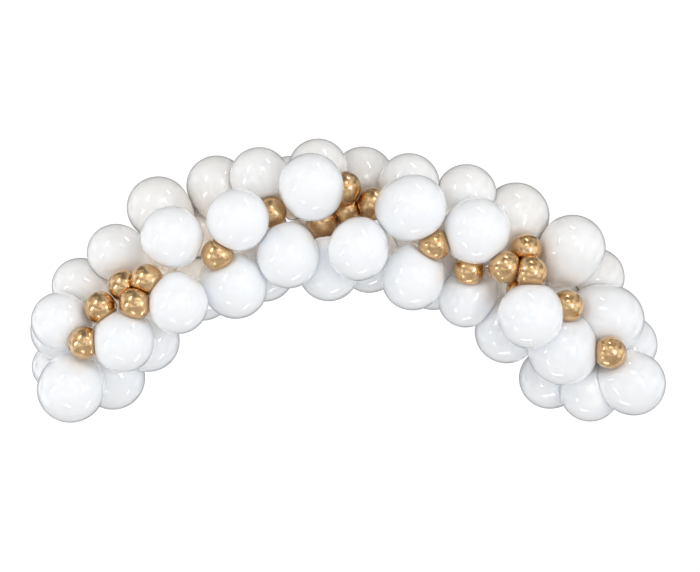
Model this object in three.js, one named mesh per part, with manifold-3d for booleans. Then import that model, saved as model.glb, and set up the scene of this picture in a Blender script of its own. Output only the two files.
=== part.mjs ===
// A balloon garland: an arch of white latex balloons, with small gold ones pushed in between.
// It hangs against a wall, which some of the rear balloons are pressed flat on.
// Millimetres. +X runs along the wall to the right, +Y into the wall, +Z up.
// The origin is the middle of the flat spot of the top middle balloon, on the wall.
import * as THREE from 'three';
import { ConvexGeometry } from 'three/addons/geometries/ConvexGeometry.js';
import * as BufferGeometryUtils from 'three/addons/utils/BufferGeometryUtils.js';
import Module from 'manifold-3d';

const wasm = await Module();
wasm.setup();

// Driving dimensions.
const whiteDiameter = 248;     // an 11 inch balloon blown up to just under 10 inches
const goldDiameter = 128;      // a 5 inch balloon
const lineRadius = 1200;       // arc of the line that all the necks are tied to
const wallDistance = 278;      // from that line to the wall
const whiteNeckLength = 34;
const whiteNeckWidth = 22;
const goldNeckLength = 20;
const goldNeckWidth = 14;
const goldPress = 16;          // how deep a gold balloon is pushed into the one it leans on
const wedgedPress = 26;        // the same, where it is caught between two
const touchGap = 0.3;          // between two balloons that touch
const weldDepth = 1;           // overlap of two balloons that are made as one piece

// Proportions of a blown-up balloon.
const whiteStretch = 1.3;      // neck end of the body against its crown end: the egg shape
const goldStretch = 1.12;
const flatSides = 6;           // corners of the flat spot between two balloons
const wallFlatSides = 9;       // and of one on the wall
const flatMargin = 0.09;       // radians round a flat spot that are kept clear of other corners

// Rings of corners on a balloon: degrees from the crown, corners in the ring.
const whiteRings = [[0, 1], [32, 6], [62, 10], [92, 12], [122, 10], [150, 6], [167, 5]];
const goldRings = [[0, 1], [38, 6], [76, 9], [114, 8], [150, 5]];
const neckCorners = 5;

// A white balloon's row is [along, out, back, size]: how far along the line it sits, from the
// arch's top to the right, how far out from the line, how far back from it, and its own size.
// All four, and the place where a cluster is tied, are in white balloon diameters.
const clusters = [
  {
    tie: -5.1,
    white_01_low_front: [-5.38, -0.16, -0.60, 1.05],
    white_01_low_back: [-5.00, -0.56, 0.32, 1.03],
    white_01_wall: [-5.34, 0.40, 0.70, 0.80],
  },
  {
    tie: -4.6,
    white_02_high_front: [-4.58, 0.54, -0.58, 0.91],
    white_02_high_back: [-4.78, 0.56, 0.24, 0.99],
  },
  {
    tie: -4.0,
    white_03_low_front: [-4.20, -0.46, -0.80, 0.97],
    white_03_low_back: [-4.02, -0.68, 0.12, 1.00],
    white_03_top: [-4.08, 0.72, -0.04, 0.90],
    white_03_wall: [-3.96, 0.46, 0.70, 0.98],
  },
  {
    tie: -3.0,
    white_04_top: [-3.38, 0.68, -0.20, 0.92],
    white_04_low_front: [-3.04, -0.62, -0.90, 0.93],
    white_04_low_back: [-2.68, -0.58, 0.58, 1.00],
    white_04_wall: [-3.10, 0.24, 0.70, 1.00],
  },
  {
    tie: -2.4,
    white_05_front: [-2.54, 0.32, -0.90, 0.95],
    white_05_top: [-2.56, 0.90, 0.00, 1.01],
    white_05_low: [-2.00, -0.82, -0.46, 1.01],
    white_05_wall: [-2.20, 0.36, 0.70, 1.01],
  },
  {
    tie: -1.6,
    white_06_front: [-1.54, 0.14, -0.82, 0.98],
    white_06_top: [-1.72, 0.84, 0.22, 0.98],
    white_06_low_back: [-1.44, -0.72, 0.36, 1.00],
    white_06_wall: [-1.36, 0.06, 0.70, 1.00],
  },
  {
    tie: -0.9,
    white_07_top: [-1.10, 0.74, -0.16, 0.96],
    white_07_low_front: [-0.90, -0.62, -0.60, 0.98],
    white_07_wall: [-0.72, 0.56, 0.70, 1.02],
  },
  {
    tie: -0.3,
    white_08_front: [-0.38, 0.44, -0.80, 1.01],
    white_08_top: [-0.28, 0.76, 0.02, 0.96],
    white_08_low: [-0.18, -0.90, -0.18, 0.97],
    white_08_wall: [-0.58, -0.52, 0.70, 1.01],
  },
  {
    tie: 0.5,
    white_09_low_front: [0.36, -0.58, -0.84, 0.95],
    white_09_low_back: [0.60, -0.74, 0.20, 0.97],
    white_09_low_wall: [1.14, -0.54, 0.70, 0.93],
    white_09_wall: [0.36, 0.66, 0.64, 1.03],
    white_09_front: [1.14, 0.22, -0.80, 1.04],
  },
  {
    tie: 1.5,
    white_10_top: [1.02, 0.62, -0.06, 0.98],
    white_10_low: [1.46, -0.86, -0.50, 0.98],
    white_10_wall: [1.42, 0.38, 0.70, 0.98],
  },
  {
    tie: 2.0,
    white_11_front: [2.16, 0.22, -0.68, 1.05],
    white_11_top: [1.84, 0.72, -0.06, 0.98],
    white_11_low_back: [1.88, -0.72, 0.36, 1.02],
    white_11_wall: [2.20, 0.08, 0.66, 1.00],
  },
  {
    tie: 2.8,
    white_12_top: [2.60, 0.78, 0.08, 1.08],
    white_12_low: [2.58, -0.80, -0.10, 0.90],
    white_12_wall: [3.02, -0.48, 0.68, 0.95],
  },
  {
    tie: 3.6,
    white_13_top: [3.46, 0.86, -0.28, 1.05],
    white_13_front: [3.62, -0.44, -0.88, 1.02],
    white_13_low: [3.60, -0.82, 0.04, 1.02],
  },
  {
    tie: 4.0,
    white_14_high_front: [4.58, 0.54, 0.00, 1.14],
    white_14_low_front: [4.50, -0.38, -0.38, 1.11],
    white_14_top_back: [4.04, 0.88, 0.60, 0.97],
    white_14_wall: [3.96, 0.18, 0.60, 0.90],
  },
  {
    tie: 5.0,
    white_15_front: [5.54, 0.34, -0.24, 1.02],
    white_15_top: [5.10, 0.68, 0.66, 0.96],
    white_15_low_back: [4.92, -0.72, 0.66, 1.01],
    white_15_low: [5.42, -0.30, 0.16, 0.96],
  },
];

const originBalloon = 'white_09_wall';

// A gold balloon leans on another one, in a direction from that one's middle: right, back, up.
const golds = {
  gold_01: { on: 'white_02_high_front', toward: [0.70, -0.45, -0.55], press: wedgedPress },
  gold_02: { on: 'white_03_low_front', toward: [-0.55, 0.05, 0.80], press: wedgedPress },
  gold_03: { on: 'white_06_front', toward: [-0.50, 0.15, -0.85], press: wedgedPress },
  gold_04: { on: 'white_07_top', toward: [0.30, -0.35, -0.90], press: wedgedPress },
  gold_05: { on: 'white_09_front', toward: [0.50, 0.20, -0.85], press: wedgedPress },
  gold_06: { on: 'white_11_front', toward: [-0.15, 0.40, -0.90], press: wedgedPress },
  gold_07: { on: 'white_14_low_front', toward: [0.05, -0.30, 0.95], press: goldPress },
  gold_08: { on: 'white_14_high_front', toward: [-0.10, -0.75, -0.65], press: goldPress },
  trio_right: { on: 'white_04_low_front', toward: [-0.80, 0.10, 0.60], press: wedgedPress },
  trio_left: { on: 'trio_right', toward: [-0.90, 0.35, -0.20], press: wedgedPress },
  trio_front: { on: 'trio_right', toward: [-0.40, -0.25, -0.90], press: wedgedPress },
  quintet_top: { on: 'white_08_front', toward: [0.75, 0.65, 0.00], press: goldPress },
  quintet_middle: { on: 'quintet_top', toward: [0.10, 0.65, -0.75], press: goldPress },
  quintet_right: { on: 'quintet_middle', toward: [0.90, -0.40, 0.20], press: goldPress },
  quintet_left: { on: 'quintet_middle', toward: [-0.90, 0.00, -0.40], press: goldPress },
  quintet_deep: { on: 'quintet_left', toward: [0.05, 0.95, -0.25], press: wedgedPress },
  quartet_left: { on: 'white_11_front', toward: [0.60, -0.10, -0.80], press: goldPress },
  quartet_front: { on: 'quartet_left', toward: [0.95, -0.10, -0.20], press: wedgedPress },
  quartet_top: { on: 'quartet_front', toward: [-0.10, 0.60, 0.80], press: goldPress },
  quartet_deep: { on: 'quartet_front', toward: [-0.20, 0.75, -0.60], press: goldPress },
};

// Balloons that are tied neck to neck and made as one piece.
const madeAsOne = {
  white_04_back_pair: ['white_04_low_back', 'white_04_wall'],
  white_06_back_pair: ['white_06_low_back', 'white_06_wall'],
  white_09_back_pair: ['white_09_low_back', 'white_09_low_wall'],
  white_11_back_pair: ['white_11_low_back', 'white_11_wall'],
  white_14_back_pair: ['white_14_top_back', 'white_14_wall'],
  gold_trio: ['trio_right', 'trio_left', 'trio_front'],
  gold_quintet: ['quintet_middle', 'quintet_top', 'quintet_right', 'quintet_left', 'quintet_deep'],
  gold_quartet: ['quartet_front', 'quartet_left', 'quartet_top', 'quartet_deep'],
};

const whiteLatex = new THREE.MeshStandardMaterial({ color: 0xf2f1f3, roughness: 0.25, metalness: 0 });
const goldLatex = new THREE.MeshStandardMaterial({ color: 0xc2934f, roughness: 0.2, metalness: 1 });

const wallNormal = new THREE.Vector3(0, 1, 0);
const alongWall = new THREE.Vector3(1, 0, 0);

// A place along the line, out from it in its own plane, and back from it. The arch's top is at 0.
function placeOnLine(along, out, back) {
  const turn = along * whiteDiameter / lineRadius;
  const fromArcCentre = lineRadius + out * whiteDiameter;
  return new THREE.Vector3(
    fromArcCentre * Math.sin(turn),
    back * whiteDiameter,
    fromArcCentre * Math.cos(turn) - lineRadius,
  );
}

function nearestOnLine(place) {
  const turn = Math.atan2(place.x, place.z + lineRadius);
  return new THREE.Vector3(lineRadius * Math.sin(turn), 0, lineRadius * (Math.cos(turn) - 1));
}

// The neck points from the body to where it is tied, so the crown faces the other way.
function makeBalloon(middle, radius, tiedAt, kind) {
  const crown = middle.clone().sub(tiedAt).normalize();
  const neckEnd = radius * kind.stretch + kind.neckLength;
  const neckAngle = Math.PI - Math.atan2(kind.neckWidth / 2, neckEnd);
  return { middle, radius, crown, neckEnd, neckAngle, kind, flats: [] };
}

const whiteKind = {
  rings: whiteRings,
  stretch: whiteStretch,
  neckLength: whiteNeckLength,
  neckWidth: whiteNeckWidth,
  material: whiteLatex,
};
const goldKind = {
  rings: goldRings,
  stretch: goldStretch,
  neckLength: goldNeckLength,
  neckWidth: goldNeckWidth,
  material: goldLatex,
};

const balloons = {};

for (const { tie, ...rows } of clusters) {
  const tiedAt = placeOnLine(tie, 0, 0);
  for (const [name, [along, out, back, size]] of Object.entries(rows)) {
    const middle = placeOnLine(along, out, back);
    balloons[name] = makeBalloon(middle, size * whiteDiameter / 2, tiedAt, whiteKind);
  }
}

for (const [name, { on, toward, press }] of Object.entries(golds)) {
  const carrier = balloons[on];
  const radius = goldDiameter / 2;
  const direction = new THREE.Vector3(...toward).normalize();
  const middle = carrier.middle.clone().addScaledVector(direction, carrier.radius + radius - press);
  balloons[name] = makeBalloon(middle, radius, nearestOnLine(middle), goldKind);
}

function pieceOf(name) {
  const found = Object.entries(madeAsOne).find(([, members]) => members.includes(name));
  return found ? found[0] : name;
}

// Two balloons share a plane: where their round skins cross, or midway if they stay apart.
function flattenTogether(first, second, gap) {
  const normal = second.middle.clone().sub(first.middle);
  const apart = normal.length();
  normal.normalize();
  const toPlane = (apart ** 2 + first.radius ** 2 - second.radius ** 2) / (2 * apart);
  const across = new THREE.Vector3().crossVectors(normal, wallNormal);
  if (across.length() < 0.1) across.crossVectors(normal, alongWall);
  across.normalize();
  const sides = flatSides;
  first.flats.push({ normal, across, distance: toPlane - gap / 2, sides });
  second.flats.push({
    normal: normal.clone().negate(), across, distance: apart - toPlane - gap / 2, sides,
  });
}

const names = Object.keys(balloons);
names.forEach((name, index) => {
  const first = balloons[name];
  for (const other of names.slice(index + 1)) {
    const second = balloons[other];
    if (first.middle.distanceTo(second.middle) > first.neckEnd + second.neckEnd) continue;
    flattenTogether(first, second, pieceOf(name) === pieceOf(other) ? -weldDepth : touchGap);
  }
  first.flats.push({
    normal: wallNormal, across: alongWall,
    distance: wallDistance - first.middle.y, sides: wallFlatSides,
  });
});

// How far the skin is from the middle in one direction: the egg shape with its neck, cut short
// by whatever the balloon is pressed against.
function skinReach(balloon, direction) {
  const angle = direction.angleTo(balloon.crown);
  const towardNeck = Math.min(0, Math.cos(angle));
  let reach = balloon.radius * (1 + (balloon.kind.stretch - 1) * towardNeck ** 2);
  if (angle > balloon.neckAngle - 0.001) reach = balloon.neckEnd;
  for (const { normal, distance } of balloon.flats) {
    const facing = direction.dot(normal);
    if (facing > 0) reach = Math.min(reach, distance / facing);
  }
  return reach;
}

// Corners of the skin, as directions from the middle.
function ringCorners(axis, across, angle, count, twist) {
  const side = new THREE.Vector3().crossVectors(axis, across);
  return Array.from({ length: count }, (_, step) => {
    const turn = (step + twist) * 2 * Math.PI / count;
    return axis.clone().multiplyScalar(Math.cos(angle))
      .addScaledVector(across, Math.sin(angle) * Math.cos(turn))
      .addScaledVector(side, Math.sin(angle) * Math.sin(turn));
  });
}

function skinCorners(balloon) {
  const { crown, kind, flats, radius, neckAngle } = balloon;
  const across = new THREE.Vector3().crossVectors(crown, wallNormal);
  if (across.length() < 0.1) across.crossVectors(crown, alongWall);
  across.normalize();
  const pressed = flats.filter(({ distance }) => distance < radius)
    .map((flat) => ({ ...flat, angle: Math.acos(flat.distance / radius) }));
  const body = kind.rings.flatMap(([degrees, count], ring) => (
    ringCorners(crown, across, THREE.MathUtils.degToRad(degrees), count, ring % 2 / 2)
  ));
  const neck = [
    ...ringCorners(crown, across, neckAngle, neckCorners, 0),
    crown.clone().negate(),
  ];
  const free = [...body, ...neck].filter((corner) => (
    pressed.every(({ normal, angle }) => corner.angleTo(normal) > angle + flatMargin)
  ));
  const rims = pressed.flatMap(({ normal, across: flatAcross, angle, sides }) => (
    ringCorners(normal, flatAcross, angle, sides, 0)
  ));
  return [...free, ...rims];
}

// The corners' hull on a round ball gives the faces; each corner then moves out to the skin.
function balloonGeometry(balloon, origin) {
  const geometry = new ConvexGeometry(skinCorners(balloon));
  const position = geometry.attributes.position;
  const corner = new THREE.Vector3();
  for (let index = 0; index < position.count; index += 1) {
    corner.fromBufferAttribute(position, index).normalize();
    corner.multiplyScalar(skinReach(balloon, corner)).add(balloon.middle).sub(origin);
    position.setXYZ(index, corner.x, corner.y, corner.z);
  }
  geometry.deleteAttribute('normal');
  return BufferGeometryUtils.mergeVertices(geometry);
}

function toSolid(geometry) {
  return new wasm.Manifold(new wasm.Mesh({
    numProp: 3,
    vertProperties: new Float32Array(geometry.attributes.position.array),
    triVerts: new Uint32Array(geometry.index.array),
  }));
}

function toGeometry(solid) {
  const { vertProperties, triVerts } = solid.getMesh();
  const geometry = new THREE.BufferGeometry();
  geometry.setAttribute('position', new THREE.BufferAttribute(vertProperties, 3));
  geometry.setIndex(new THREE.BufferAttribute(triVerts, 1));
  return geometry;
}

function joinedGeometry(members, origin) {
  const solids = members.map((member) => toSolid(balloonGeometry(balloons[member], origin)));
  return toGeometry(solids.reduce((joined, solid) => joined.add(solid)));
}

const wallSpot = balloons[originBalloon].middle.clone().setY(wallDistance);
const garland = new THREE.Group();
garland.position.copy(wallSpot).negate();

for (const piece of new Set(names.map(pieceOf))) {
  const members = madeAsOne[piece] ?? [piece];
  const { middle, kind } = balloons[members[0]];
  const geometry = members.length > 1
    ? joinedGeometry(members, middle)
    : balloonGeometry(balloons[piece], middle);
  geometry.computeVertexNormals();
  const mesh = new THREE.Mesh(geometry, kind.material);
  mesh.name = piece;
  mesh.position.copy(middle);
  garland.add(mesh);
}

const group = new THREE.Group();
group.add(garland);

export default group;
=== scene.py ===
# %% [markdown]
# # A balloon garland
# An arch of white latex balloons hangs on a wall, with small gold ones pushed in between. The
# frame already says where each balloon is and how big it is, but as a ball with few faces. Here
# each one gets the smooth skin, the rolled neck and the gloss of a real balloon.

# %% The frame
import math

import bmesh
import bpy
import numpy as np
from mathutils import Matrix, Vector


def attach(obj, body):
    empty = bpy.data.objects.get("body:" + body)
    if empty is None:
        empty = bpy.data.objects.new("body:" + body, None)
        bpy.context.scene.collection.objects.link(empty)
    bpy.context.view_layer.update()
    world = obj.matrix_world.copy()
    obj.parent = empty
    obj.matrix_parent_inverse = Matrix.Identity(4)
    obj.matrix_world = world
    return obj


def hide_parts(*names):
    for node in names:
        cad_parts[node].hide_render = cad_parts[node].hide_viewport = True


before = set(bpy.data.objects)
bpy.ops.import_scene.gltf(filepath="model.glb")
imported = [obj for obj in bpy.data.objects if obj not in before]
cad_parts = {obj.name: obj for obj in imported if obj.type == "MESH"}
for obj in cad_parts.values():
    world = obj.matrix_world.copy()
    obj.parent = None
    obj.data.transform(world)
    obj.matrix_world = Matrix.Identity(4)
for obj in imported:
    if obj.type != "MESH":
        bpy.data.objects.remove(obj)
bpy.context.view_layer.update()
NODES = sorted(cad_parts)
scene = bpy.context.scene

# %% [markdown]
# ## The camera
# The photograph was taken from the front, level with the upper part of the arch's opening, and
# from some 6 m away: the balloons that stand out from the wall look only a little bigger than
# those behind them. A camera that looks along +Y, unturned, sees the garland that way.

# %% The camera
LINE_DEPTH = -0.278           # the balloons are tied to a line this far in front of the wall
CAMERA_AWAY = 6.0             # from that line
CAMERA_ACROSS, CAMERA_UP = -0.0534, -0.4439
LENS_MM, SENSOR_MM = 77.14, 36
camera_data = bpy.data.cameras.new("camera")
camera_data.lens = LENS_MM
camera_data.sensor_width = SENSOR_MM
camera = bpy.data.objects.new("camera", camera_data)
camera.location = (CAMERA_ACROSS, LINE_DEPTH - CAMERA_AWAY, CAMERA_UP)
camera.rotation_euler = (math.radians(90), 0, 0)
scene.collection.objects.link(camera)
scene.camera = camera
scene.view_settings.view_transform = "Standard"
scene.cycles.max_bounces = 24          # white on white: light goes on and on in the gaps
scene.cycles.diffuse_bounces = 20

# %% [markdown]
# ## Measuring the balloons
# A real balloon is held by its neck and pressed flat where it meets its neighbours. The frame's
# solids are made that way too, so most of their corners lie on one ball. Fitting a ball to all
# corners would give a wrong one, because the corners on the flat spots and on the neck pull at it.
# Instead the ball through four corners is worked out for thousands of random fours, and the ball
# that most corners lie on is the balloon. The dice are seeded, so that each run finds the same.
#
# All the necks are tied to one line, an arc like the garland's own. A gold balloon's neck points
# at the nearest place on it. A white one's may be tied farther along, with its neighbours' necks.
# A balloon is egg-shaped, its skin farther out the nearer it is to the neck, so each place on the
# line is tried, and the one that most corners agree with is taken.

# %% Corners of a solid, and the ball that most of them lie on
FOURS = {"white": 6000, "gold": 120000}      # gold ones in a group show few of their corners
RADII = {"white": (0.095, 0.145), "gold": (0.06395, 0.06405)}
ON_THE_BALL = 0.0001          # metres off it at most
TAKEN_BY_IT = 0.0005          # corners this near it aren't on another balloon of the group
ALL_IN_A_PLANE = 1e-9         # four corners that give a smaller determinant have no ball
dice = np.random.default_rng(7)


def corners_of(node):
    places = np.array([vertex.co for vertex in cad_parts[node].data.vertices])
    return np.unique(places.round(6), axis=0)      # to a micrometre


def likeliest_ball(corners, latex):
    fours = corners[dice.integers(len(corners), size=(FOURS[latex], 4))]
    sums = np.concatenate([2 * fours, np.ones((FOURS[latex], 4, 1))], axis=2)
    solvable = np.abs(np.linalg.det(sums)) > ALL_IN_A_PLANE
    squares = (fours[solvable] ** 2).sum(2)[..., None]
    solved = np.linalg.solve(sums[solvable], squares)[..., 0]
    middles = solved[:, :3]
    radii = np.sqrt(np.maximum(solved[:, 3] + (middles ** 2).sum(1), 0))
    smallest, biggest = RADII[latex]
    fits = (radii > smallest) & (radii < biggest)
    middles, radii = middles[fits], radii[fits]
    off = np.abs(np.linalg.norm(corners - middles[:, None], axis=2) - radii[:, None])
    best = (off < ON_THE_BALL).sum(1).argmax()
    return middles[best], radii[best], off[best] < TAKEN_BY_IT


# %% The way its neck points
LINE_RADIUS = 1.2
LINE_CENTRE = np.array([-0.10136, LINE_DEPTH, -1.35991])
STRETCH = {"white": 0.30, "gold": 0.12}      # balloon radii that the neck end is longer
TIED_WITHIN = {"white": 0.20, "gold": 0.0}   # radians along the arc
PLACES_TRIED = 1601
OFF_THE_BALL = 0.003          # balloon radii; corners farther out show the egg shape
AGREES_WITHIN = 0.003         # of the cosine of its angle from the neck


def likeliest_neck(corners, middle, radius, latex):
    arms = corners - middle
    reach = np.linalg.norm(arms, axis=1)
    beyond = reach / radius - 1
    egg = (beyond > OFF_THE_BALL) & (beyond < STRETCH[latex])
    ways = arms[egg] / reach[egg, None]
    cosines = np.sqrt(beyond[egg] / STRETCH[latex])
    across, _, up = middle - LINE_CENTRE
    along = np.linspace(-1, 1, PLACES_TRIED) * TIED_WITHIN[latex]
    turns = math.atan2(across, up) + along
    on_the_arc = np.stack([np.sin(turns), 0 * turns, np.cos(turns)], axis=1)
    axes = LINE_CENTRE + LINE_RADIUS * on_the_arc - middle
    axes /= np.linalg.norm(axes, axis=1)[:, None]
    agreeing = (np.abs(ways @ axes.T - cosines[:, None]) < AGREES_WITHIN).sum(0)
    best = np.argmax(agreeing - np.abs(along))
    return axes[best], agreeing[best]


# %% Every balloon: middle, radius and neck
TIED_TOGETHER = {"pair": 2, "trio": 3, "quartet": 4, "quintet": 5}
balloons = []
for node in NODES:
    latex = node.split("_")[0]
    corners = corners_of(node)
    members = []
    left = corners
    for _ in range(TIED_TOGETHER.get(node.split("_")[-1], 1)):
        middle, radius, on_it = likeliest_ball(left, latex)
        left = left[~on_it]
        members.append({"node": node, "latex": latex, "middle": middle, "radius": radius})
    above_skin = np.array([
        np.linalg.norm(corners - one["middle"], axis=1) - one["radius"] for one in members
    ])
    nearest = above_skin.argmin(0)
    for order, one in enumerate(members):
        one["toward_neck"], one["agreeing"] = likeliest_neck(
            corners[nearest == order], one["middle"], one["radius"], latex,
        )
    balloons += members
print("corners that agree on a neck, at least:", min(one["agreeing"] for one in balloons))
golds = sum(one["latex"] == "gold" for one in balloons)
print(len(balloons), "balloons,", golds, "of them gold")

# %% [markdown]
# ## The shape of one balloon
# An inflated balloon is a ball at its crown and a little egg-shaped towards its neck. There the
# latex is drawn in, knotted, and ends in a short tail with a rolled lip. All of it is round about
# one axis, so half of its outline is drawn once and spun. Only the part between crown and neck is
# worked out, from the egg's stretch. Lengths are in balloon radii, those of the neck from the
# egg's tip.

# %% Half the outline, spun round
BODY_ENDS_AT = 164            # degrees from the crown, where the neck begins
NECK = [  # distance from the axis, distance beyond the egg's tip
    (0.215, -0.012), (0.155, 0.020), (0.112, 0.052), (0.086, 0.084), (0.072, 0.112),   # drawn in
    (0.080, 0.130), (0.084, 0.148), (0.078, 0.168), (0.052, 0.182),                    # the knot
    (0.056, 0.202), (0.070, 0.225), (0.086, 0.246),                                    # the tail
    (0.098, 0.256), (0.102, 0.266), (0.096, 0.275), (0.084, 0.272), (0.060, 0.260),    # its lip
    (0, 0.256),
]
FINENESS = {"white": (44, 84), "gold": (30, 56)}     # rows from crown to neck, faces round it
SAME_POINT = 1e-6


def spun_balloon(latex):
    rows, turns = FINENESS[latex]
    stretch = STRETCH[latex]
    outline = []
    for row in range(rows + 1):
        angle = math.radians(BODY_ENDS_AT) * row / rows
        reach = 1 + stretch * min(0, math.cos(angle)) ** 2
        outline.append((reach * math.sin(angle), -reach * math.cos(angle)))
    outline += [(across, 1 + stretch + beyond) for across, beyond in NECK]
    bm = bmesh.new()
    points = [bm.verts.new((across, 0, along)) for across, along in outline]
    edges = [bm.edges.new(pair) for pair in zip(points, points[1:])]
    bmesh.ops.spin(
        bm, geom=points + edges, cent=(0, 0, 0), axis=(0, 0, 1), dvec=(0, 0, 0),
        angle=math.tau, steps=turns, use_merge=True, use_duplicate=False,
    )
    bmesh.ops.remove_doubles(bm, verts=bm.verts, dist=SAME_POINT)
    bmesh.ops.recalc_face_normals(bm, faces=bm.faces)
    for face in bm.faces:
        face.smooth = True
    mesh = bpy.data.meshes.new(latex + "_pattern")
    bm.to_mesh(mesh)
    bm.free()
    print(mesh.name, len(mesh.vertices), "vertices")
    return mesh


patterns = {latex: spun_balloon(latex) for latex in FINENESS}

# %% [markdown]
# ## Pressing the balloons together
# Where two balloons meet, both go flat, because they hold about the same pressure. The flat spot
# lies in the plane where their two balls would cross. The wall flattens the rear ones in the same
# way. Each point of the skin is pulled in along its line from the balloon's middle until it is on
# its own side of all those planes. A soft minimum rounds the edge of each flat spot, as stretched
# latex does.

# %% The planes that press on each balloon
NECK_LENGTH = {"white": 0.034, "gold": 0.020}    # metres from the egg's tip to the lip, at most
GAP = 0.0003                  # metres between two balloons that touch
EDGE_SOFTNESS = 0.0028        # metres; small enough that a touch stays a touch
FACES_AWAY = 0.05             # a way with a smaller cosine than this never meets the plane
NEVER = 9.0                   # metres off, where such a way is taken to meet it
TO_THE_WALL = np.array([0.0, 1.0, 0.0])


def neck_end(balloon):
    return balloon["radius"] * (1 + STRETCH[balloon["latex"]]) + NECK_LENGTH[balloon["latex"]]


def planes_on(balloon):
    planes = [(TO_THE_WALL, -balloon["middle"][1])]
    for other in balloons:
        if other is balloon:
            continue
        between = other["middle"] - balloon["middle"]
        apart = np.linalg.norm(between)
        if apart > neck_end(balloon) + neck_end(other):
            continue
        crossing = (apart ** 2 + balloon["radius"] ** 2 - other["radius"] ** 2) / (2 * apart)
        planes.append((between / apart, crossing - GAP / 2))
    return planes


def pressed(points, planes):
    reach = np.linalg.norm(points, axis=1)
    nearest = reach.copy()
    limits = []
    for normal, distance in planes:
        facing = points @ normal / reach
        limit = np.where(facing > FACES_AWAY, distance / np.maximum(facing, FACES_AWAY), NEVER)
        limits.append(limit)
        nearest = np.minimum(nearest, limit)
    shares = np.exp((nearest - reach) / EDGE_SOFTNESS)
    for limit in limits:
        shares += np.exp((nearest - limit) / EDGE_SOFTNESS)
    soft_reach = nearest - EDGE_SOFTNESS * np.log(shares)
    return points * (soft_reach / reach)[:, None]


# %% [markdown]
# ## Placing them
# The pattern's neck points along +Z. It is turned the way the balloon's neck points, grown to the
# balloon's radius, pressed, and moved to its middle. Balloons that the frame holds as one piece,
# because they are tied neck to neck, are joined in one mesh. Each point keeps two numbers for the
# colours. One is 0 at the crown and 1 at the neck, because the latex is thicker there. The other
# is painted shade, the same all over a balloon: 1 on the arch's outer side and against the wall,
# high up, where less light reaches them and the photograph shows them greyer and warmer, and 0 in
# front, in the opening and at the arch's ends.

# %% One smooth piece for each solid of the frame
CROWN_TO_KNOT = 2.1           # balloon radii, without the stretch
# The next four numbers place the painted shade on the white balloons.
OUTER_SIDE = 0.20             # metres outside the line, where its share is full
BEHIND = (-0.40, 0.20)        # depth of the front balloons, and the way back to the full share
HIGH = (-0.85, 0.45)          # height of the arch's clean white ends, and the rise to full tone
SHARE = 0.6                   # of the outer side in the tone, and of being behind


# How much painted shade a balloon gets: more on the arch's outer side and at the back, none low
# down.
def painted_shade_share(middle):
    across, depth, up = middle
    off_line = math.hypot(across - LINE_CENTRE[0], up - LINE_CENTRE[2]) - LINE_RADIUS
    outward = np.clip(off_line / OUTER_SIDE, -1, 1)
    behind = np.clip((depth - BEHIND[0]) / BEHIND[1], 0, 1)
    high = np.clip((up - HIGH[0]) / HIGH[1], 0, 1)
    return np.clip(SHARE * outward + SHARE * behind, 0, 1) * high


def placed_skin(balloon):
    mesh = patterns[balloon["latex"]].copy()
    points = np.empty(len(mesh.vertices) * 3)
    mesh.vertices.foreach_get("co", points)
    points = points.reshape(-1, 3)
    # The first number is the thicker latex at the neck, the second the painted shade.
    tones = {
        "toward_neck": np.clip(
            (points[:, 2] + 1) / (CROWN_TO_KNOT + STRETCH[balloon["latex"]]), 0, 1,
        ),
        "set_back": np.full(len(points), painted_shade_share(balloon["middle"])),
    }
    turn = Vector((0, 0, 1)).rotation_difference(Vector(balloon["toward_neck"])).to_matrix()
    points = points @ np.array(turn).T * balloon["radius"]
    points = pressed(points, planes_on(balloon)) + balloon["middle"]
    mesh.vertices.foreach_set("co", points.ravel())
    for name, values in tones.items():
        mesh.attributes.new(name, "FLOAT", "POINT").data.foreach_set("value", values)
    return mesh


pieces = []
for node in NODES:
    bm = bmesh.new()
    for balloon in balloons:
        if balloon["node"] == node:
            bm.from_mesh(placed_skin(balloon))
    mesh = bpy.data.meshes.new(node + "_skin")
    bm.to_mesh(mesh)
    bm.free()
    piece = bpy.data.objects.new(node + "_skin", mesh)
    scene.collection.objects.link(piece)
    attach(piece, "root")
    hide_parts(node)
    pieces.append(piece)
print(len(pieces), "pieces,", sum(len(p.data.polygons) for p in pieces), "faces")

# %% [markdown]
# ## Colours and nodes
# Colours are written as a designer would, in sRGB hex, and one function turns them to the linear
# numbers that the shader wants. Another fills in what a node is given, numbers or links, and a
# third adds a node with its settings.

# %% Helpers for materials
MM = 0.001


def linear(hex_colour):
    parts = [int(hex_colour[at:at + 2], 16) / 255 for at in (1, 3, 5)]
    straight = [p / 12.92 if p <= 0.04045 else ((p + 0.055) / 1.055) ** 2.4 for p in parts]
    return (*straight, 1.0)


def fill_in(tree, node, inputs):
    for name, value in inputs.items():
        if isinstance(value, bpy.types.NodeSocket):
            tree.links.new(value, node.inputs[name])
        else:
            node.inputs[name].default_value = value


def add_node(tree, kind, settings=None, inputs=None):
    node = tree.nodes.new(kind)
    for name, value in (settings or {}).items():
        setattr(node, name, value)
    fill_in(tree, node, inputs or {})
    return node


def new_material(name):
    material = bpy.data.materials.new(name)
    material.use_nodes = True
    return material, material.node_tree, material.node_tree.nodes["Principled BSDF"]
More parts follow.
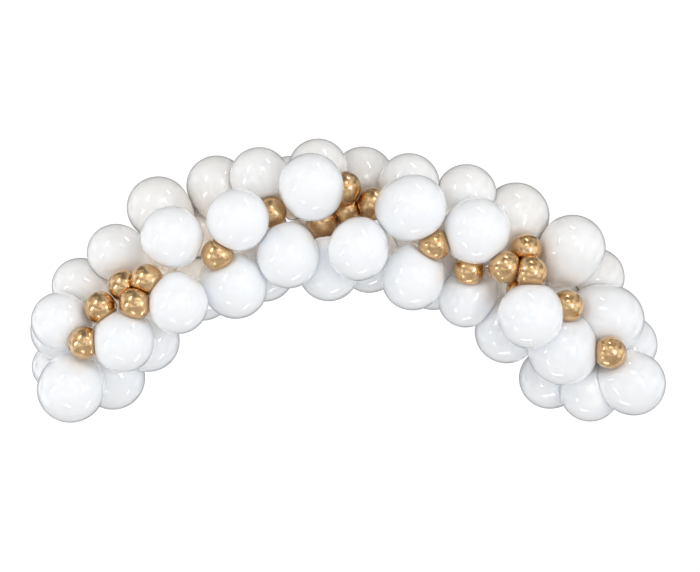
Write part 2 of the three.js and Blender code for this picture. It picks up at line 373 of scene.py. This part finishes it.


# %% [markdown]
# ## White latex
# The white balloons are plain latex with white pigment, blown up until the skin shines. The skin
# is thin, so light goes in on one side and leaves on another: that is subsurface scattering. It
# makes the gaps between them glow pale instead of going dark. The balloons in front are a clean,
# cool white with faint clouds some 180 mm wide. Those that are set back, on the arch's outer side
# or against the wall, are mixed towards a greyer, warmer white: that is painted shade, for the
# light that reaches them less.
# At the neck the skin is thick and creamy. Its dimples are too fine to show in the photograph, so
# they are drawn 12 mm apart. The gloss is that of rubber, IOR 1.52, and nearly smooth. Over it is
# the clear shine that decorators spray on, so that each window shows half as bright again.

# %% White latex
def white_latex():
    material, tree, shader = new_material("white pigmented latex, inflated")
    place = add_node(tree, "ShaderNodeTexCoord").outputs["Object"]
    cloud = add_node(tree, "ShaderNodeTexNoise", inputs={
        "Vector": place, "Scale": 1 / (180 * MM), "Detail": 2.0, "Roughness": 0.5,
    }).outputs["Fac"]
    in_front = add_node(tree, "ShaderNodeMix", {"data_type": "RGBA"}, {
        "Factor": cloud, "A": linear("#FBFDFF"), "B": linear("#F8FBFE"),
    }).outputs["Result"]
    # Painted shade: balloons set back are mixed towards a greyer, warmer white.
    set_back = add_node(tree, "ShaderNodeAttribute", {"attribute_name": "set_back"})
    thin_skin_painted_shade = add_node(tree, "ShaderNodeMix", {"data_type": "RGBA"}, {
        "Factor": set_back.outputs["Fac"], "A": in_front, "B": linear("#F3F0EC"),
    }).outputs["Result"]
    toward_neck = add_node(tree, "ShaderNodeAttribute", {"attribute_name": "toward_neck"})
    thick = add_node(tree, "ShaderNodeMapRange", inputs={
        "Value": toward_neck.outputs["Fac"], "From Min": 0.86, "From Max": 0.98,
    }).outputs["Result"]
    skin = add_node(tree, "ShaderNodeMix", {"data_type": "RGBA"}, {
        "Factor": thick, "A": thin_skin_painted_shade, "B": linear("#EFE9DF"),
    }).outputs["Result"]
    dimples = add_node(tree, "ShaderNodeTexNoise", inputs={
        "Vector": place, "Scale": 1 / (12 * MM), "Detail": 2.0,
    }).outputs["Fac"]
    gloss = add_node(tree, "ShaderNodeMapRange", inputs={
        "Value": dimples, "To Min": 0.04, "To Max": 0.09,
    }).outputs["Result"]
    bump = add_node(tree, "ShaderNodeBump", inputs={
        "Height": dimples, "Strength": 0.02, "Distance": 0.4 * MM,
    }).outputs["Normal"]
    fill_in(tree, shader, {
        "Base Color": skin, "Roughness": gloss, "Normal": bump, "IOR": 1.52,
        "Coat Weight": 0.6, "Coat Roughness": 0.05,
        "Subsurface Weight": 0.75, "Subsurface Radius": (1.0, 0.95, 0.90),
        "Subsurface Scale": 70 * MM,
    })
    return material


# %% [markdown]
# ## Gold latex
# The gold balloons are the mirror-like kind: metal flakes in the latex line up as it stretches. It
# is modelled as a metal of a pale, warm gold. It is rougher than a mirror, 0.16 to 0.30, so that a
# window in it is a soft blot. In patches of about 30 mm both colour and gloss change. That is
# partly where the flakes lie less evenly, and partly painted reflection: pale and dark blots, as a
# room leaves them in mirror-like latex. Over the flakes is clear latex, whose own gloss is white.

# %% Gold latex
def gold_latex():
    material, tree, shader = new_material("gold flake latex, inflated")
    place = add_node(tree, "ShaderNodeTexCoord").outputs["Object"]
    cloud = add_node(tree, "ShaderNodeTexNoise", inputs={
        "Vector": place, "Scale": 1 / (30 * MM), "Detail": 3.0, "Roughness": 0.6,
    }).outputs["Fac"]
    # Partly real flake colour, partly painted reflection: the pale and the dark patches stand for
    # blots that a room leaves in the mirror-like skin.
    flakes_and_painted_reflection = add_node(tree, "ShaderNodeMix", {"data_type": "RGBA"}, {
        "Factor": cloud, "A": linear("#B2824A"), "B": linear("#FAD6A2"),
    }).outputs["Result"]
    toward_neck = add_node(tree, "ShaderNodeAttribute", {"attribute_name": "toward_neck"})
    drawn_in = add_node(tree, "ShaderNodeMapRange", inputs={
        "Value": toward_neck.outputs["Fac"], "From Min": 0.88, "From Max": 0.98,
    }).outputs["Result"]
    skin = add_node(tree, "ShaderNodeMix", {"data_type": "RGBA"}, {
        "Factor": drawn_in, "A": flakes_and_painted_reflection, "B": linear("#9A6C34"),
    }).outputs["Result"]
    gloss = add_node(tree, "ShaderNodeMapRange", inputs={
        "Value": cloud, "To Min": 0.16, "To Max": 0.30,
    }).outputs["Result"]
    fill_in(tree, shader, {
        "Base Color": skin, "Roughness": gloss, "Metallic": 1.0,
        "Coat Weight": 0.6, "Coat Roughness": 0.10,
    })
    return material


finishes = {"white": white_latex(), "gold": gold_latex()}
for piece in pieces:
    piece.data.materials.clear()
    piece.data.materials.append(finishes[piece.name.split("_")[0]])

# %% [markdown]
# ## Floor and light
# The photograph is bright and nearly without shadow, on white. The balloons' gloss shows what lit
# them: a few tall windows or lamps, each a small bright dash on every balloon, and a pale floor
# that glows back from below. Each lamp is a rectangle placed by the dash that it leaves on a
# balloon.

# %% The pale floor
FLOOR_BELOW = 2.3             # a garland hangs at the height of a door's top
FLOOR_MIDDLE = (-0.12, -1.7)
FLOOR_REACH = 3.2             # metres from its middle to each side
floor_mesh = bmesh.new()
bmesh.ops.create_grid(floor_mesh, x_segments=1, y_segments=1, size=FLOOR_REACH)
bmesh.ops.translate(floor_mesh, verts=floor_mesh.verts, vec=(*FLOOR_MIDDLE, -FLOOR_BELOW))
floor = bpy.data.objects.new("floor", bpy.data.meshes.new("floor"))
floor_mesh.to_mesh(floor.data)
floor_mesh.free()
scene.collection.objects.link(floor)
floor_paint, floor_tree, floor_shader = new_material("pale matt floor")
fill_in(floor_tree, floor_shader, {"Base Color": linear("#F2F2F2"), "Roughness": 0.7})
floor.data.materials.append(floor_paint)

# %% The lamps
LIT = Vector((-0.12, -0.3, -0.43))      # what the lamps point at: the middle of the garland
LAMPS = {  # direction from there, metres away, width, height, radiance, lean in radians
    "window_left_high": ((-0.60, -0.62, 0.50), 3.4, 0.22, 0.85, 17.0, 0.0),
    "window_left": ((-0.86, -0.52, -0.10), 3.2, 0.95, 0.14, 16.0, 0.5),
    "window_right": ((0.64, -0.77, 0.02), 3.4, 0.38, 0.80, 13.0, 0.0),
    "lamp_right_high": ((0.32, -0.30, 0.92), 2.8, 0.13, 0.80, 14.0, 0.0),
    "floor_glow": ((0.28, -0.10, -0.96), 1.8, 0.14, 0.80, 8.0, 0.0),
    "lamp_low_left": ((-0.48, -0.45, -0.75), 2.2, 0.13, 0.48, 11.0, 0.4),
    "soft_front_high": ((0.20, -0.80, 0.56), 3.6, 0.90, 0.70, 3.0, 0.0),
}
for name, (direction, away, width, height, radiance, lean) in LAMPS.items():
    data = bpy.data.lights.new(name, "AREA")
    data.shape = "RECTANGLE"
    data.size, data.size_y = width, height
    data.energy = radiance * width * height * math.pi
    lamp = bpy.data.objects.new(name, data)
    toward = Vector(direction).normalized()
    facing = (-toward).to_track_quat("-Z", "Y").to_matrix() @ Matrix.Rotation(lean, 3, "Z")
    lamp.matrix_world = Matrix.Translation(LIT + toward * away) @ facing.to_4x4()
    scene.collection.objects.link(lamp)

# %% [markdown]
# ## Light in the gaps
# Real latex lets part of the light through, and the balloons pass it on to the gaps between them.
# The skins here can't pass light on to the next balloon. Faint lamps along the line that the necks
# are tied to, in the free spaces between the balloons, stand in for that. They show in no
# reflection.

# %% Faint lamps between the balloons
GLOW = 0.006                  # watts
GLOW_COLOUR = "#FFF3E6"       # light that came through latex is a little warmer
GLOW_RADIUS = 0.008
FREE_SPACE = 0.012            # metres that a lamp keeps from every balloon
FROM_LINE = (-1, 0, 1)        # steps off the line: to the front and the back, and down and up
DEPTH_STEP, RING_STEP = 0.10, 0.07
LEFT_END, RIGHT_END = -1.12, 1.15       # radians along the arc, from its top
PLACES_ALONG = 46
glows = 0
for behind in FROM_LINE:
    for turn in np.linspace(LEFT_END, RIGHT_END, PLACES_ALONG):
        for above in FROM_LINE:
            ring = LINE_RADIUS + above * RING_STEP
            place = LINE_CENTRE + np.array([
                ring * math.sin(turn), behind * DEPTH_STEP, ring * math.cos(turn),
            ])
            free = min(np.linalg.norm(one["middle"] - place) - one["radius"] for one in balloons)
            if free < FREE_SPACE:
                continue
            data = bpy.data.lights.new("glow", "POINT")
            data.energy = GLOW
            data.shadow_soft_size = GLOW_RADIUS
            data.color = linear(GLOW_COLOUR)[:3]
            glow = bpy.data.objects.new("glow", data)
            glow.location = place
            glow.visible_camera = glow.visible_glossy = False
            scene.collection.objects.link(glow)
            glows += 1
print(glows, "faint lamps in the gaps")

# %% [markdown]
# ## The white surroundings
# The room is white, brightest on the photographer's side, with soft blotches where its windows and
# furniture are, which the gold shows. It is dimmer and warmer overhead, and dim behind the
# garland. That darkens the outline of each balloon a little, which sets it off from the white.
# What is straight behind the garland is white, as in the photograph.

# %% The white surroundings
world = bpy.data.worlds.new("white surroundings")
scene.world = world
world.use_nodes = True
tree = world.node_tree
way = add_node(tree, "ShaderNodeTexCoord").outputs["Generated"]
part_of_way = add_node(tree, "ShaderNodeSeparateXYZ", inputs={"Vector": way}).outputs
behind = add_node(tree, "ShaderNodeMapRange", {"interpolation_type": "SMOOTHSTEP"}, {
    "Value": part_of_way["Y"], "From Min": 0.45, "From Max": 0.95, "To Min": 0.96, "To Max": 0.10,
}).outputs["Result"]
overhead = add_node(tree, "ShaderNodeMapRange", {"interpolation_type": "SMOOTHSTEP"}, {
    "Value": part_of_way["Z"], "From Min": 0.3, "From Max": 1.0, "To Min": 1.0, "To Max": 0.45,
}).outputs["Result"]
furniture = add_node(tree, "ShaderNodeTexNoise", inputs={
    "Vector": way, "Scale": 2.9, "Detail": 1.0, "Roughness": 0.5,
}).outputs["Fac"]
room = add_node(tree, "ShaderNodeMapRange", {"interpolation_type": "SMOOTHSTEP"}, {
    "Value": furniture, "From Min": 0.36, "From Max": 0.64, "To Min": 0.35, "To Max": 1.58,
}).outputs["Result"]
for factor in (behind, overhead):
    room = add_node(tree, "ShaderNodeMath", {"operation": "MULTIPLY"}, {
        0: room, 1: factor,
    }).outputs["Value"]
height = add_node(tree, "ShaderNodeMapRange", inputs={
    "Value": part_of_way["Z"], "From Min": -0.6, "From Max": 0.8,
}).outputs["Result"]
shade = add_node(tree, "ShaderNodeMix", {"data_type": "RGBA"}, {
    "Factor": height, "A": linear("#F1F7FF"), "B": linear("#F9F8F7"),
}).outputs["Result"]
room_light = tree.nodes["Background"]
fill_in(tree, room_light, {"Color": shade, "Strength": room})
paper = add_node(tree, "ShaderNodeBackground", inputs={"Color": (1, 1, 1, 1), "Strength": 1.05})
seen = add_node(tree, "ShaderNodeLightPath").outputs["Is Camera Ray"]
either = add_node(tree, "ShaderNodeMixShader", inputs={
    0: seen, 1: room_light.outputs["Background"], 2: paper.outputs["Background"],
})
fill_in(tree, tree.nodes["World Output"], {"Surface": either.outputs["Shader"]})
